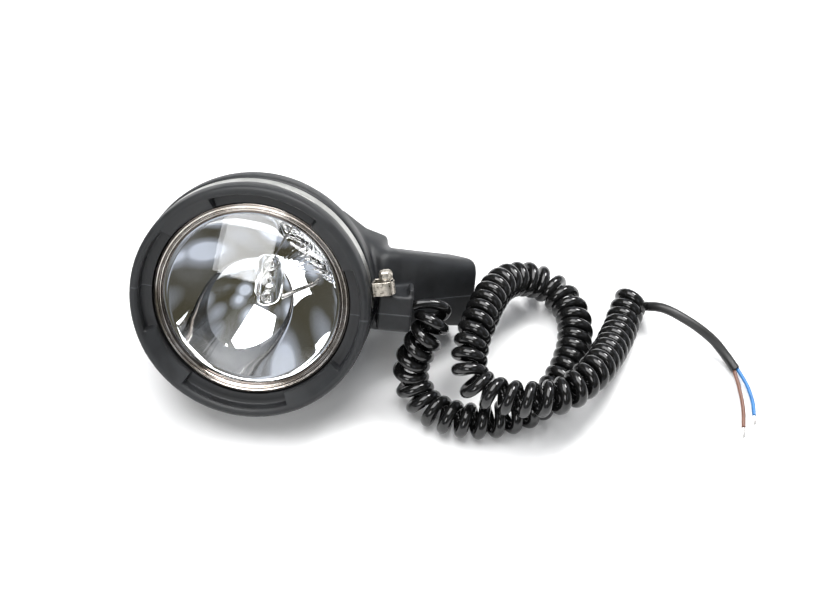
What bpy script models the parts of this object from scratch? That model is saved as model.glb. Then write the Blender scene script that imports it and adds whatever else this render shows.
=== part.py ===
"""Hand-held rubber searchlight with a sealed-beam lamp, a worm-drive clamp and a curly cord.

Blender 4.5, metres, +Z up. The lamp lies on its back dome on the floor, Z = 0. Its head and grip
are modelled in the lamp's own frame: the lamp axis is +Z out of the lens, Z = 0 is the front plane
of the bumper, and the grip points to +X. An empty then lays that frame down on the floor.
"""

import math

import bmesh
import bpy
from mathutils import Euler, Matrix, Vector

NAME = "hand_searchlight"
MM = 0.001

# How the lamp lies: tipped back from facing straight up, turned, and rolled about its own axis.
TIP = math.radians(55.1)
TURN = math.radians(-7.4)
ROLL = math.radians(-2.3)
LAMP_AT = Vector((-33.1, -21.4, 84.7)) * MM

# Head, radii and depths behind the bumper's front plane.
HEAD_DEPTH = 80.0 * MM
BORE_R = 61.6 * MM
SLEEVE_R = 72.7 * MM
POCKET_OUT_R = 68.4 * MM
POCKET_DEPTH = 9.0 * MM
POCKET_ANGLES = (175.0, 266.5, 358.0, 86.5)
POCKET_SPAN = 57.0

# Sealed beam, a 114 mm round lamp.
BEAM_R = 57.0 * MM
BEZEL_R = 61.2 * MM
LENS_R = 55.6 * MM
FOCUS = 17.8 * MM
BOWL_BACK = 55.0 * MM
FERRULE_X = 4.0 * MM
FERRULE_Y = (11.0 * MM, 0.0, -11.0 * MM)

# Worm-drive clamp.
BAND_R = 73.0 * MM
BAND_WIDTH = 9.0 * MM
BAND_FRONT = 12.4 * MM
CLAMP_ANGLE = math.radians(12.5)
SCREW_AT_R = 83.6 * MM

# Grip, raked back from the head.
RAKE = math.radians(37.0)
GRIP_HALF_WIDTH = 24.5 * MM
GRIP_HALF_DEPTH = 22.4 * MM
GRIP_BACK = Vector((-math.sin(RAKE), 0.0, -math.cos(RAKE)))  # out of the grip's rear face

# Cord.
CORD_D = 6.2 * MM
COIL_D = 23.4 * MM
CORE_D = 2.5 * MM
CORD_HOLE_R = 3.5 * MM
CORD_EXIT = Vector((96.0, 1.5, -36.0)) * MM  # in the lamp's frame

# Switch.
SWITCH_TRAVEL = 3.0 * MM
BUTTON_BOTTOM = 2.4 * MM  # the button's lower end, below the grip's face
BUTTON_R = 4.0 * MM


# ---------------------------------------------------------------- scene and helpers
for old in list(bpy.data.objects):
    bpy.data.objects.remove(old, do_unlink=True)

parts = bpy.data.collections.new(NAME)
cutters = bpy.data.collections.new("cutters")
for group in (parts, cutters):
    bpy.context.scene.collection.children.link(group)

lamp_frame = bpy.data.objects.new("lamp_frame", None)
parts.objects.link(lamp_frame)
lamp_frame.location = LAMP_AT
lamp_frame.rotation_euler = (
    Matrix.Rotation(TURN, 3, "Z") @ Matrix.Rotation(TIP, 3, "X") @ Matrix.Rotation(ROLL, 3, "Z")
).to_euler()


def material(name, colour, roughness, metallic=0.0, alpha=1.0):
    made = bpy.data.materials.new(name)
    made.use_nodes = True
    shader = made.node_tree.nodes["Principled BSDF"]
    shader.inputs["Base Color"].default_value = (*colour, 1.0)
    shader.inputs["Roughness"].default_value = roughness
    shader.inputs["Metallic"].default_value = metallic
    shader.inputs["Alpha"].default_value = alpha
    return made


RUBBER = material("black_rubber", (0.018, 0.020, 0.023), 0.55)
STEEL = material("stainless_steel", (0.56, 0.56, 0.53), 0.3, 1.0)
CHROME = material("chrome", (0.72, 0.68, 0.62), 0.08, 1.0)
MIRROR = material("mirror_coating", (0.85, 0.85, 0.86), 0.03, 1.0)
GLASS = material("clear_glass", (0.95, 0.97, 0.98), 0.02, 0.0, 0.3)
BRASS = material("brass", (0.62, 0.45, 0.18), 0.35, 1.0)
TUNGSTEN = material("tungsten", (0.3, 0.3, 0.31), 0.4, 1.0)
NYLON = material("black_nylon", (0.02, 0.02, 0.02), 0.4)
CORD = material("black_cord", (0.012, 0.012, 0.013), 0.2)
BLUE = material("blue_core", (0.05, 0.2, 0.45), 0.45)
BROWN = material("brown_core", (0.16, 0.06, 0.04), 0.45)
TIN = material("tinned_copper", (0.6, 0.58, 0.55), 0.3, 1.0)


def add(name, mesh, finish, parent=lamp_frame, at=(0, 0, 0), turn=None, group=parts):
    """An object that holds mesh, under parent."""
    made = bpy.data.objects.new(name, mesh)
    group.objects.link(made)
    made.parent = parent
    made.location = at
    if turn is not None:
        made.rotation_euler = turn
    if finish is None:
        made.hide_render = True
        made.display_type = "WIRE"
    else:
        made.data.materials.append(finish)
        if made.type == "MESH":
            mesh.shade_smooth()
            mesh.set_sharp_from_angle(angle=math.radians(35))
    return made


def mesh_of(name, build):
    """A mesh that build(bm) fills."""
    mesh = bpy.data.meshes.new(name)
    bm = bmesh.new()
    build(bm)
    bm.to_mesh(mesh)
    bm.free()
    return mesh


def scaled(profile):
    """A profile's millimetres in metres."""
    return [(radius * MM, z * MM) for radius, z in profile]


def turned(name, profile, finish, steps=64, **place):
    """A turned shape from (radius, z) points in order, down the outer side and back up the inner."""
    mesh = bpy.data.meshes.new(name)
    count = len(profile)
    closed = min(radius for radius, _ in profile) > 1e-6
    edges = [(i, (i + 1) % count) for i in range(count if closed else count - 1)]
    mesh.from_pydata([(radius, 0.0, z) for radius, z in profile], edges, [])
    made = add(name, mesh, finish, group=cutters if finish is None else parts, **place)
    screw = made.modifiers.new("turn", "SCREW")
    screw.steps = steps
    screw.render_steps = steps
    screw.use_merge_vertices = True
    screw.merge_threshold = 1e-5
    screw.use_smooth_shade = finish is not None
    return made


def along(direction):
    """The turn that points +Z along direction."""
    return Vector(direction).to_track_quat("Z", "Y").to_euler()


def rod(name, radius, length, finish, sides=24, bevel=0.0, **place):
    """A cylinder, or a prism of few sides, about its own Z."""
    mesh = mesh_of(name, lambda bm: bmesh.ops.create_cone(
        bm, cap_ends=True, segments=sides, radius1=radius, radius2=radius, depth=length))
    made = add(name, mesh, finish, group=cutters if finish is None else parts, **place)
    if bevel:
        edge = made.modifiers.new("bevel", "BEVEL")
        edge.width = bevel
        edge.segments = 2
    return made


def block(name, size, finish, bevel=0.0, **place):
    """A box of the given size."""
    def build(bm):
        bmesh.ops.create_cube(bm, size=1.0)
        bmesh.ops.scale(bm, vec=size, verts=bm.verts)

    made = add(name, mesh_of(name, build), finish, group=cutters if finish is None else parts, **place)
    if bevel:
        edge = made.modifiers.new("bevel", "BEVEL")
        edge.width = bevel
        edge.segments = 2
    return made


def combine(made, other, how):
    step = made.modifiers.new(how.lower(), "BOOLEAN")
    step.operation = how
    step.object = other
    step.solver = "EXACT"


def loft(name, sections, finish, sides=24, **place):
    """A closed skin through rings. A ring is its centre, half width along Y, half depth and tilt."""
    def build(bm):
        rings = []
        for centre, half_width, half_depth, squareness, tilt in sections:
            ring = []
            for k in range(sides):
                angle = 2 * math.pi * k / sides
                c = math.cos(angle)
                s = math.sin(angle)
                across = half_width * math.copysign(abs(s) ** (2 / squareness), s)
                deep = half_depth * math.copysign(abs(c) ** (2 / squareness), c)
                spot = Vector((deep * math.sin(tilt), across, deep * math.cos(tilt)))
                ring.append(bm.verts.new(Vector(centre) + spot))
            rings.append(ring)
        for low, high in zip(rings, rings[1:]):
            for k in range(sides):
                n = (k + 1) % sides
                bm.faces.new((low[k], low[n], high[n], high[k]))
        bm.faces.new(rings[0])
        bm.faces.new(reversed(rings[-1]))
        bmesh.ops.recalc_face_normals(bm, faces=bm.faces)

    return add(name, mesh_of(name, build), finish, group=cutters if finish is None else parts, **place)


def smooth_route(points, spacing):
    """Evenly spaced points on the smooth curve through the route's own points."""
    ends = [2 * points[0] - points[1], *points, 2 * points[-1] - points[-2]]
    fine = []
    for a, b, c, d in zip(ends, ends[1:], ends[2:], ends[3:]):
        for k in range(20):
            t = k / 20
            fine.append(0.5 * ((2 * b) + (c - a) * t + (2 * a - 5 * b + 4 * c - d) * t * t
                               + (3 * b - a - 3 * c + d) * t ** 3))
    fine.append(points[-1])
    lengths = [0.0]
    for a, b in zip(fine, fine[1:]):
        lengths.append(lengths[-1] + (b - a).length)
    count = max(2, round(lengths[-1] / spacing))
    even = []
    j = 0
    for k in range(count + 1):
        target = lengths[-1] * k / count
        while j < len(fine) - 2 and lengths[j + 1] < target:
            j += 1
        share = (target - lengths[j]) / (lengths[j + 1] - lengths[j])
        even.append(fine[j].lerp(fine[j + 1], share))
    return even


def wire(name, route, diameter, finish, resolution=2, parent=None, spacing=2.4):
    """A round tube along a smooth route."""
    curve = bpy.data.curves.new(name, "CURVE")
    curve.dimensions = "3D"
    curve.bevel_depth = diameter / 2
    curve.bevel_resolution = resolution
    curve.use_fill_caps = True
    points = smooth_route([Vector(p) for p in route], spacing * diameter)
    spline = curve.splines.new("POLY")
    spline.points.add(len(points) - 1)
    for place, point in zip(spline.points, points):
        place.co = (*point, 1.0)
    return add(name, curve, finish, parent=parent)


# ---------------------------------------------------------------- head and grip
def grip_centre(along_grip):
    """The middle of the grip at a distance down its raked axis, in the lamp's frame."""
    start = Vector((72.0, 0.0, -58.0)) * MM
    return start + along_grip * Vector((math.cos(RAKE), 0.0, -math.sin(RAKE)))


def make_housing():
    """The rubber moulding: head shell, neck, raked grip and the boss that the cord leaves by."""
    outer = [(0.0, -11.3), (70.3, -11.3), (70.3, -22.2), (74.0, -22.6), (74.6, -26.0), (74.4, -33.0),
             (71.8, -43.0), (66.0, -53.5), (56.0, -64.0), (42.0, -72.5), (24.0, -78.6),
             (12.0, -HEAD_DEPTH / MM), (0.0, -HEAD_DEPTH / MM)]
    housing = turned("rubber_housing", scaled(outer), RUBBER, steps=48)

    neck = [
        (Vector((18.0, 0.0, -54.0)) * MM, 58.0 * MM, 16.0 * MM, 2.6, 0.0),
        (Vector((46.0, 0.0, -54.0)) * MM, 48.5 * MM, 20.0 * MM, 2.7, 0.1),
        (Vector((60.0, 0.0, -56.0)) * MM, 37.5 * MM, 22.5 * MM, 2.9, 0.3),
        (grip_centre(2 * MM), 29.5 * MM, 23.0 * MM, 3.2, 0.5),
        (grip_centre(14 * MM), 26.6 * MM, 21.6 * MM, 3.4, RAKE),
        (grip_centre(36 * MM) + 0.8 * MM * GRIP_BACK, 25.4 * MM, 21.4 * MM, 3.4, RAKE),
        (grip_centre(57 * MM) + 2.4 * MM * GRIP_BACK, GRIP_HALF_WIDTH, GRIP_HALF_DEPTH, 3.6, RAKE),
    ]
    for distance, inset in ((60.5 * MM, 1.2 * MM), (62 * MM, 4 * MM)):
        centre = grip_centre(distance) + 2.4 * MM * GRIP_BACK
        neck.append((centre, GRIP_HALF_WIDTH - inset, GRIP_HALF_DEPTH - inset, 3.6, RAKE))
    grip = loft("grip_form", neck, None)
    combine(housing, grip, "UNION")

    boss = block("boss_form", (20.8 * MM, 23.0 * MM, 34.0 * MM), None, bevel=1.5 * MM,
                 at=Vector((85.6, 0.5, -36.0)) * MM, turn=Euler((0, math.radians(8), 0)))
    combine(housing, boss, "UNION")

    inner = [(0.0, -5.0), (BORE_R / MM, -5.0), (BORE_R / MM, -17.2), (55.0, -17.2), (55.0, -20.6),
             (66.0, -22.6), (69.8, -27.0), (69.6, -33.0), (67.2, -41.5), (61.8, -51.0), (52.5, -60.5),
             (39.5, -68.3), (22.5, -74.0), (12.0, -75.4), (0.0, -75.4)]
    hollow = turned("head_hollow", scaled(inner), None, steps=48)
    combine(housing, hollow, "DIFFERENCE")

    core = [
        (Vector((40.0, 0.0, -54.0)) * MM, 30.0 * MM, 12.0 * MM, 2.8, 0.2),
        (grip_centre(0.0), 22.0 * MM, 15.0 * MM, 3.0, 0.5),
        (grip_centre(14 * MM), 20.0 * MM, 15.5 * MM, 3.2, RAKE),
        (grip_centre(54 * MM), 19.0 * MM, 14.5 * MM, 3.2, RAKE),
    ]
    hollow_grip = loft("grip_hollow", core, None, sides=20)
    combine(housing, hollow_grip, "DIFFERENCE")

    cord_way = Vector((1.0, 0.0, 0.0))
    hole = rod("cord_hole", CORD_HOLE_R, 46 * MM, None, sides=20,
               at=CORD_EXIT - 20 * MM * cord_way, turn=along(cord_way))
    combine(housing, hole, "DIFFERENCE")

    bore = rod("switch_bore", 8.3 * MM, 30 * MM, None, sides=24,
               at=grip_centre(16 * MM) + 20 * MM * GRIP_BACK, turn=along(GRIP_BACK))
    combine(housing, bore, "DIFFERENCE")


def make_bumper():
    """The soft front ring. Four pockets lighten it, and its sleeve is what the clamp squeezes."""
    profile = [(69.0, -0.6), (71.6, 0.0), (73.2, -0.8), (74.0, -2.6), (74.0, -10.2), (73.2, -11.0),
               (SLEEVE_R / MM, -11.4), (SLEEVE_R / MM, -21.7), (70.6, -21.7), (70.6, -11.0),
               (BORE_R / MM, -11.0), (BORE_R / MM, -5.4)]
    bumper = turned("front_bumper", scaled(profile), RUBBER, steps=60)
    half = math.radians(POCKET_SPAN / 2)
    for number, degrees in enumerate(POCKET_ANGLES):
        outline = []
        for k in range(13):
            angle = -half + 2 * half * k / 12
            outline.append((POCKET_OUT_R, angle))
        for k in range(13):
            angle = half - 2 * half * k / 12
            outline.append((59.0 * MM, angle))

        def build(bm, outline=outline):
            floor = -POCKET_DEPTH
            face = bm.faces.new([bm.verts.new((r * math.cos(a), r * math.sin(a), floor)) for r, a in outline])
            raised = bmesh.ops.extrude_face_region(bm, geom=[face])
            tops = [v for v in raised["geom"] if isinstance(v, bmesh.types.BMVert)]
            bmesh.ops.translate(bm, vec=(0, 0, POCKET_DEPTH + 2 * MM), verts=tops)
            bmesh.ops.recalc_face_normals(bm, faces=bm.faces)

        cutter = add(f"pocket_{number + 1}", mesh_of("pocket", build), None, group=cutters,
                     turn=Euler((0, 0, math.radians(degrees))))
        combine(bumper, cutter, "DIFFERENCE")


# ---------------------------------------------------------------- sealed beam
def make_sealed_beam():
    """Lens, mirrored bowl, chrome ring, ferrules, posts, filament and the terminals behind."""
    bulge = 6.2 * MM
    curve_r = (LENS_R ** 2 + bulge ** 2) / (2 * bulge)
    front = []
    back = []
    for k in range(7):
        r = LENS_R * k / 6
        drop = curve_r - math.sqrt(curve_r ** 2 - r ** 2)
        front.append((r, -5.6 * MM - drop))
        back.append((r * 0.95, -8.6 * MM - drop))
    rim = [(BEAM_R - 0.2 * MM, -12.4 * MM), (BEAM_R - 0.2 * MM, -14.5 * MM), (54.0 * MM, -14.9 * MM)]
    turned("front_lens", front + rim + list(reversed(back)), GLASS, steps=40)

    inside = []
    outside = []
    for k in range(7):
        r = (17.0 + (52.0 - 17.0) * k / 6) * MM
        inside.append((r, -BOWL_BACK + r * r / (4 * FOCUS)))
        outside.append((r + 1.9 * MM, -BOWL_BACK + r * r / (4 * FOCUS) - 1.6 * MM))
    floor = -BOWL_BACK + (17 * MM) ** 2 / (4 * FOCUS)
    bowl = [(BEAM_R, -15.0 * MM), (BEAM_R, -17.0 * MM), (54.6 * MM, -17.0 * MM)]
    bowl += list(reversed(outside))
    bowl += [(18.0 * MM, floor - 4.5 * MM), (0.0, floor - 4.5 * MM)]
    top = [(0.0, floor)] + inside + [(52.5 * MM, -15.0 * MM)]
    reflector = turned("reflector", top + bowl, MIRROR, steps=40)
    for number, y in enumerate(FERRULE_Y):
        hole = rod(f"ferrule_hole_{number + 1}", 3.5 * MM, 20 * MM, None, sides=16,
                   at=(FERRULE_X, y, floor))
        combine(reflector, hole, "DIFFERENCE")
        flange = [(1.4, 1.6), (4.3, 1.6), (4.3, 0.3), (3.2, 0.3), (3.2, -6.2), (1.4, -6.2)]
        turned(f"ferrule_{number + 1}", scaled(flange), CHROME, steps=20, at=(FERRULE_X, y, floor))

    outer_r = BEZEL_R / MM
    bezel = [(54.6, -10.6), (56.6, -10.2), (58.8, -9.6), (60.6, -10.3), (outer_r, -11.8), (outer_r, -16.8),
             (60.4, -16.8), (60.4, -12.2), (58.8, -10.8), (56.8, -11.2), (54.6, -11.4)]
    turned("bezel_ring", scaled(bezel), CHROME, steps=56)

    focus_z = -BOWL_BACK + FOCUS
    for number, y in enumerate((FERRULE_Y[0], FERRULE_Y[2])):
        side = math.copysign(1.0, y)
        route = [(FERRULE_X, y, floor - 7 * MM), (FERRULE_X, y, floor + 4 * MM),
                 (FERRULE_X * 0.6, y * 0.8, focus_z - 4 * MM), (0.0, side * 4.2 * MM, focus_z)]
        wire(f"filament_post_{number + 1}", route, 1.2 * MM, TUNGSTEN, parent=lamp_frame, spacing=3.0)
    coil = [(0.0, -3.2 * MM, focus_z), (0.0, 0.0, focus_z + 0.8 * MM), (0.0, 3.2 * MM, focus_z)]
    wire("filament", coil, 1.4 * MM, TUNGSTEN, parent=lamp_frame, spacing=0.8)

    for number, y in enumerate((FERRULE_Y[0], FERRULE_Y[2])):
        rod(f"terminal_stud_{number + 1}", 2.0 * MM, 4.6 * MM, BRASS, sides=16,
            at=(FERRULE_X, y, floor - 9.4 * MM))
    return floor


def make_terminals(floor):
    """Ring terminals on the studs and the nuts that hold them."""
    plate_z = floor - 4.5 * MM - 3.6 * MM
    for colour, y in (("brown", FERRULE_Y[0]), ("blue", FERRULE_Y[2])):
        side = math.copysign(1.0, y)
        washer = scaled([(2.3, 0.4), (4.4, 0.4), (4.4, -0.4), (2.3, -0.4)])
        ring = turned(f"ring_terminal_{colour}", washer, TIN, steps=20, at=(FERRULE_X, y, plate_z))
        barrel = block(f"barrel_form_{colour}", (3.0 * MM, 6.0 * MM, 0.8 * MM), None,
                       at=(FERRULE_X, y + side * 6.6 * MM, plate_z))
        combine(ring, barrel, "UNION")
        nut = scaled([(2.3, 1.2), (3.9, 1.2), (3.9, -1.2), (2.3, -1.2)])
        turned(f"terminal_nut_{colour}", nut, BRASS, steps=6, at=(FERRULE_X, y, plate_z - 2.0 * MM))


# ---------------------------------------------------------------- worm-drive clamp
def make_clamp():
    """The band round the sleeve, the worm's housing on it, and the screw in the housing."""
    low = -BAND_FRONT - BAND_WIDTH
    band = turned("clamp_band", [(BAND_R + 0.7 * MM, -BAND_FRONT), (BAND_R + 0.7 * MM, low), (BAND_R, low),
                  (BAND_R, -BAND_FRONT)], STEEL, steps=60)
    out = Vector((math.cos(CLAMP_ANGLE), math.sin(CLAMP_ANGLE), 0.0))
    tangent = Vector((-math.sin(CLAMP_ANGLE), math.cos(CLAMP_ANGLE), 0.0))
    middle = Vector((0, 0, -BAND_FRONT - BAND_WIDTH / 2))
    spin = Euler((0, 0, CLAMP_ANGLE))
    tail = block("band_tail_form", (0.7 * MM, 15.0 * MM, 8.4 * MM), None,
                 at=middle + (BAND_R + 0.9 * MM) * out - 7.0 * MM * tangent, turn=spin)
    combine(band, tail, "UNION")

    base = BAND_R + 1.9 * MM
    top = SCREW_AT_R + 5.0 * MM
    housing = block("clamp_housing", (top - base, 8.4 * MM, 11.0 * MM), STEEL, bevel=1.6 * MM,
                    at=middle + (top + base) / 2 * out, turn=spin)
    bore = rod("worm_bore", 3.3 * MM, 20 * MM, None, sides=20,
               at=middle + SCREW_AT_R * out, turn=along(tangent))
    combine(housing, bore, "DIFFERENCE")

    screw = [(0.0, 10.6), (1.9, 10.6), (1.9, 9.2), (3.6, 9.2), (4.3, 8.6), (4.3, 5.0), (2.9, 5.0),
             (2.9, -4.8), (0.0, -4.8)]
    turned("clamp_screw", scaled(screw), STEEL, steps=24, at=middle + SCREW_AT_R * out, turn=along(tangent))


# ---------------------------------------------------------------- switch in the back of the grip
def make_switch():
    """A push switch: body inside the grip, collar nut outside, sprung button on its axis."""
    face = grip_centre(16 * MM) + 21.6 * MM * GRIP_BACK
    turn = along(GRIP_BACK)
    button_r = BUTTON_R / MM
    well_r = button_r + 0.3
    well_floor = -(BUTTON_BOTTOM + SWITCH_TRAVEL) / MM - 0.6
    body = [(0.0, well_floor), (well_r, well_floor), (well_r, 5.2), (8.0, 5.2), (8.0, -9.0), (7.0, -9.6),
            (7.0, -14.0), (0.0, -14.0)]
    turned("switch_body", scaled(body), NYLON, steps=28, at=face, turn=turn)
    nut = [(8.3, 4.6), (10.6, 4.6), (11.2, 4.0), (11.2, 2.2), (8.3, 2.2)]
    turned("switch_collar", scaled(nut), STEEL, steps=32, at=face, turn=turn)
    low = -BUTTON_BOTTOM / MM
    cap = [(0.0, 9.4), (2.4, 9.1), (3.6, 8.2), (button_r, 6.8), (button_r, low), (0.0, low)]
    turned("switch_button", scaled(cap), RUBBER, steps=24, at=face, turn=turn)
    return face


# ---------------------------------------------------------------- wiring inside the housing
def make_wiring(floor, face):
    """The cord's end inside the head, the clip that takes its pull, and the leads from it."""
    inward = Vector((-1.0, 0.0, 0.0))
    split = Vector((50.0, 0.0, -52.0)) * MM
    route = [CORD_EXIT + 0.8 * MM * inward, CORD_EXIT + 14 * MM * inward, CORD_EXIT + 25 * MM * inward,
             CORD_EXIT + 37 * MM * inward, Vector((53.0, 0.8, -44.0)) * MM, split]
    wire("cord_inner", route, CORD_D, CORD, parent=lamp_frame, spacing=1.2)
    ring = scaled([(3.8, 2.0), (5.6, 2.0), (5.6, -2.0), (3.8, -2.0)])
    turned("cord_clip", ring, NYLON, steps=20, at=CORD_EXIT + 32.6 * MM * inward, turn=along(inward))

    plate_z = (floor - 8.1 * MM) / MM
    tabs = (face - 15.2 * MM * GRIP_BACK) / MM
    before_tabs = tabs - 5.0 * GRIP_BACK
    leads = {
        "lead_blue": (BLUE, [(48.6, -1.8, -54.0), (40.0, -10.0, -60.0), (24.0, -24.0, -62.0),
                             (11.0, -27.5, -60.5), (4.0, -21.3, plate_z)]),
        "lead_brown": (BROWN, [(48.8, 1.8, -54.2), (50.0, 2.6, -60.0), (60.0, 3.0, -65.5), (70.0, 3.2, -68.0),
                               (before_tabs.x, 3.2, before_tabs.z), (tabs.x, 3.2, tabs.z)]),
        "lead_switched": (BROWN, [(tabs.x, -3.2, tabs.z), (before_tabs.x, -3.6, before_tabs.z),
                                  (68.0, -4.5, -62.0), (57.0, 9.0, -55.5), (40.0, 22.0, -58.0),
                                  (20.0, 28.0, -61.5), (10.0, 26.5, -60.5), (4.0, 21.3, plate_z)]),
    }
    for name, (finish, points) in leads.items():
        wire(name, [Vector(point) * MM for point in points], 2.2 * MM, finish, parent=lamp_frame, spacing=2.6)


# ---------------------------------------------------------------- cord, as it lies on the floor
# Routes in millimetres, along the middle of the cord or of its coil.
LEADOUT = [(66.7, -6.0, 62.2), (73.0, -5.7, 63.5), (79.0, -5.0, 64.2), (84.8, -4.4, 63.4),
           (88.1, -5.2, 60.4), (87.8, -7.4, 57.6)]
COIL = [(79.6, -10.6, 55.0), (78.8, -13.4, 52.4), (76, -17, 48), (72, -20, 43), (68, -24, 35), (66, -28, 28),
        (66, -33, 20), (70, -40, 15), (76, -47, 12), (83, -52, 12), (92, -56, 12), (102, -58, 12),
        (113, -58, 12), (124, -56, 12), (135, -52, 12), (145, -46, 12), (154, -38, 12), (161, -27, 12),
        (167, -14, 12), (171, 1, 12), (172, 16, 12), (169, 30, 12), (161, 41, 13), (151, 46, 17),
        (141, 44, 24), (130, 37, 32), (121, 24, 41), (114, 8, 46), (108, -9, 48), (103, -25, 46),
        (102, -38, 43), (105, -48, 40), (113, -53, 38), (122, -57, 38), (134, -59, 38), (146, -59, 38),
        (158, -56, 37), (169, -49, 37), (180, -36, 34), (189, -19, 26), (197, 0, 18), (203, 17, 13),
        (208, 31, 12), (212, 39, 12)]
TAIL = [(220.6, 28.7, 15.2), (225.8, 26.5, 17.5), (232.0, 23.4, 18.5), (240.1, 18.5, 18.0),
        (251.5, 11.5, 15.0), (261.7, 4.0, 10.5), (269.1, -5.1, 6.5), (274.6, -14.0, 4.2)]
CORES = {
    "brown": [(273.7, -15.1, 4.1), (275.8, -27.5, 3.0), (276.9, -42.0, 1.8), (275.8, -56.0, 1.4)],
    "blue": [(276.0, -13.7, 4.1), (280.9, -25.5, 3.2), (283.4, -37.0, 2.0), (283.4, -47.1, 1.4)],
}
TIPS = {
    "brown": [(275.8, -56.5, 1.35), (275.4, -60.0, 1.1), (275.0, -63.2, 0.95)],
    "blue": [(283.4, -47.6, 1.35), (283.3, -50.6, 1.1), (283.0, -53.6, 0.95)],
}


def make_cord():
    """The free cord: straight lead-out, coiled stretch, straight tail, two cores, tinned ends."""
    def in_metres(route):
        return [Vector(point) * MM for point in route]

    wire("cord_leadout", in_metres(LEADOUT), CORD_D, CORD, spacing=0.8)
    wire("cord_coil", in_metres(COIL), COIL_D, CORD, resolution=4, spacing=0.5)
    wire("cord_tail", in_metres(TAIL), CORD_D, CORD, resolution=3, spacing=1.4)
    for name, finish in (("brown", BROWN), ("blue", BLUE)):
        wire(f"core_{name}", in_metres(CORES[name]), CORE_D, finish, spacing=2.4)
        wire(f"core_tip_{name}", in_metres(TIPS[name]), 1.6 * MM, TIN, spacing=1.5)


make_housing()
make_bumper()
bowl_floor = make_sealed_beam()
make_terminals(bowl_floor)
make_clamp()
switch_face = make_switch()
make_wiring(bowl_floor, switch_face)
make_cord()
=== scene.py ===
"""Looks of the hand-held rubber searchlight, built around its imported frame.

The head and grip are modelled in the lamp's own frame, in millimetres: the lamp axis is +Z out of
the lens, Z = 0 is the bumper's front plane and the grip points to +X. LAMP lays that frame down on
the floor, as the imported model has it. The cord's routes are in the row frame, in millimetres.
"""

import math

import bmesh
import bpy
import numpy as np
from mathutils import Matrix, Vector


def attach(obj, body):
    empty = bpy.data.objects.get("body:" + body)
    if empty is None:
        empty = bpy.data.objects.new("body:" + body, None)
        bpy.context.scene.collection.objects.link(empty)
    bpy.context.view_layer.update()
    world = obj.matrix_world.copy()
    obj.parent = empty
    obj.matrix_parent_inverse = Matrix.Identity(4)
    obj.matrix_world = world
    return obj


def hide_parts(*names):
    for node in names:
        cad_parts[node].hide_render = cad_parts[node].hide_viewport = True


MM = 0.001
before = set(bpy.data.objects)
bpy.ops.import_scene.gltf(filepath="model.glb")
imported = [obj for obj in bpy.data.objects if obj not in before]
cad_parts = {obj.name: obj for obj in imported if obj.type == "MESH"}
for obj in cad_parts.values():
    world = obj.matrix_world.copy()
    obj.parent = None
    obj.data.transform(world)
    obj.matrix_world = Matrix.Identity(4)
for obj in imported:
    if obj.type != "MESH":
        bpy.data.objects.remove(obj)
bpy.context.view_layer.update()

# How the lamp lies: tipped back from facing straight up, turned, and rolled about its own axis.
TIP = math.radians(55.1)
TURN = math.radians(-7.4)
ROLL = math.radians(-2.3)
LAMP_AT = Vector((-33.1, -21.4, 84.7)) * MM
LAMP = (Matrix.Translation(LAMP_AT) @ Matrix.Rotation(TURN, 4, "Z") @ Matrix.Rotation(TIP, 4, "X")
        @ Matrix.Rotation(ROLL, 4, "Z"))

# Head, millimetres.
BORE_R = 61.6
SLEEVE_R = 72.7
POCKET_ANGLES = (175.0, 266.5, 358.0, 86.5)
POCKET_SPAN = 57.0

# Grip, raked back from the head.
RAKE = math.radians(37.0)
GRIP_ALONG = np.array((math.cos(RAKE), 0.0, -math.sin(RAKE)))
GRIP_BACK = np.array((-math.sin(RAKE), 0.0, -math.cos(RAKE)))
GRIP_START = np.array((72.0, 0.0, -58.0))
GRIP_END = 61.5

# Sealed beam.
BEAM_R = 57.0
LENS_R = 55.6
BEZEL_R = 61.2
FOCUS = 17.8
BOWL_BACK = 55.0
BOWL_FLOOR = -BOWL_BACK + 17.0 ** 2 / (4 * FOCUS)
FERRULE_X = 4.0
FERRULE_Y = (11.0, 0.0, -11.0)

# Clamp.
BAND_R = 73.0
BAND_WIDTH = 9.0
BAND_FRONT = 12.4
CLAMP_ANGLE = math.radians(12.5)
SCREW_AT_R = 83.6

# Cord.
CORD_D = 6.3  # on the straight stretches
COILED_D = 7.4  # the sheath swells where it was wound
COIL_D = 23.4
CORE_D = 2.5
CORD_EXIT = np.array((96.0, 1.5, -36.0))  # in the lamp's frame


# ---------------------------------------------------------------- camera
CAMERA_AT = Vector((0.0714, -0.6734, 0.9707))
CAMERA_AIM = Vector((0.0714, -0.0191, 0.0864))

camera = bpy.data.objects.new("camera", bpy.data.cameras.new("camera"))
bpy.context.scene.collection.objects.link(camera)
camera.location = CAMERA_AT
camera.rotation_euler = (CAMERA_AIM - CAMERA_AT).to_track_quat("-Z", "Y").to_euler()
camera.data.lens = 77.8
camera.data.sensor_width = 36.0
bpy.context.scene.camera = camera


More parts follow.
